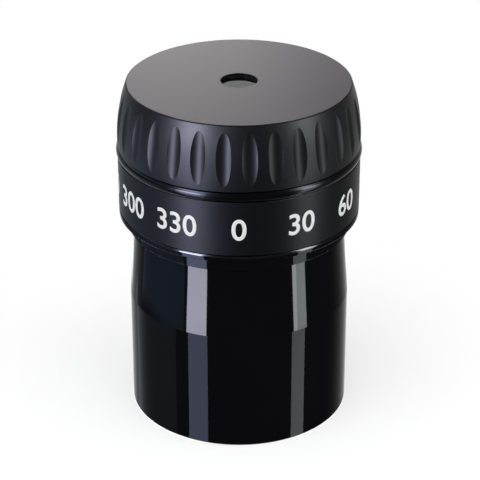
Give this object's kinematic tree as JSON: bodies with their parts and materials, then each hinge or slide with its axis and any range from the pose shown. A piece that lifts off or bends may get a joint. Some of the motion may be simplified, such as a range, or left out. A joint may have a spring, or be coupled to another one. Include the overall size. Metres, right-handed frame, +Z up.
{
  "type": "telescope eyepiece",
  "caption": "Short-focus telescope eyepiece with a fluted grip cap over a small eye lens, a plain marking sleeve and a 1.25 inch barrel with a tapered undercut and filter thread.",
  "frame": {"origin": "on the optical axis in the plane of the barrel's mouth, which the eyepiece stands on", "axes": "+Z up the optical axis from the barrel's mouth to the eye; +X right and -Y front as the picture shows it"},
  "size_m": [0.0348, 0.0348, 0.05],
  "materials": {
    "gloss_black_anodised": "polished, black anodised",
    "satin_black_anodised": "bead-blasted, black anodised",
    "matt_black_anodised": "matt black inside finish",
    "crown_glass": "polished, coated",
    "flint_glass": "polished, coated",
    "white_marking": "white screen-printed numbers"
  },
  "bodies": {
    "core": {"housing": "matt_black_anodised", "lens_cell": "matt_black_anodised", "eye_flint": "flint_glass", "eye_crown": "crown_glass", "lens_spacer": "matt_black_anodised", "field_crown": "crown_glass", "field_flint": "flint_glass", "lens_retainer": "matt_black_anodised", "field_stop": "matt_black_anodised", "cell_lock_ring": "matt_black_anodised"},
    "sleeve": {"label_sleeve": "satin_black_anodised"},
    "barrel": {"barrel": "gloss_black_anodised"},
    "accent": {"accent_ring": "gloss_black_anodised"},
    "cap": {"grip_cap": "satin_black_anodised"}
  },
  "joints": [
    {"name": "sleeve_slide", "type": "slide", "parent": "core", "child": "sleeve", "axis": [0, 0, -1], "range_m": [0, 0.0045]},
    {"name": "barrel_screw", "type": "hinge", "parent": "sleeve", "child": "barrel", "pos_m": [0, 0, 0.0333], "axis": [0, 0, -1], "range_deg": [0, 2160]},
    {"name": "accent_slide", "type": "slide", "parent": "core", "child": "accent", "axis": [0, 0, 1], "range_m": [0, 0.00375]},
    {"name": "cap_screw", "type": "hinge", "parent": "accent", "child": "cap", "pos_m": [0, 0, 0.0427], "axis": [0, 0, 1], "range_deg": [0, 1800]}
  ],
  "couplings": [
    {"joint": "sleeve_slide", "follows": "barrel_screw", "m_per_rad": 0.00011936},
    {"joint": "accent_slide", "follows": "cap_screw", "m_per_rad": 0.00011936}
  ]
}
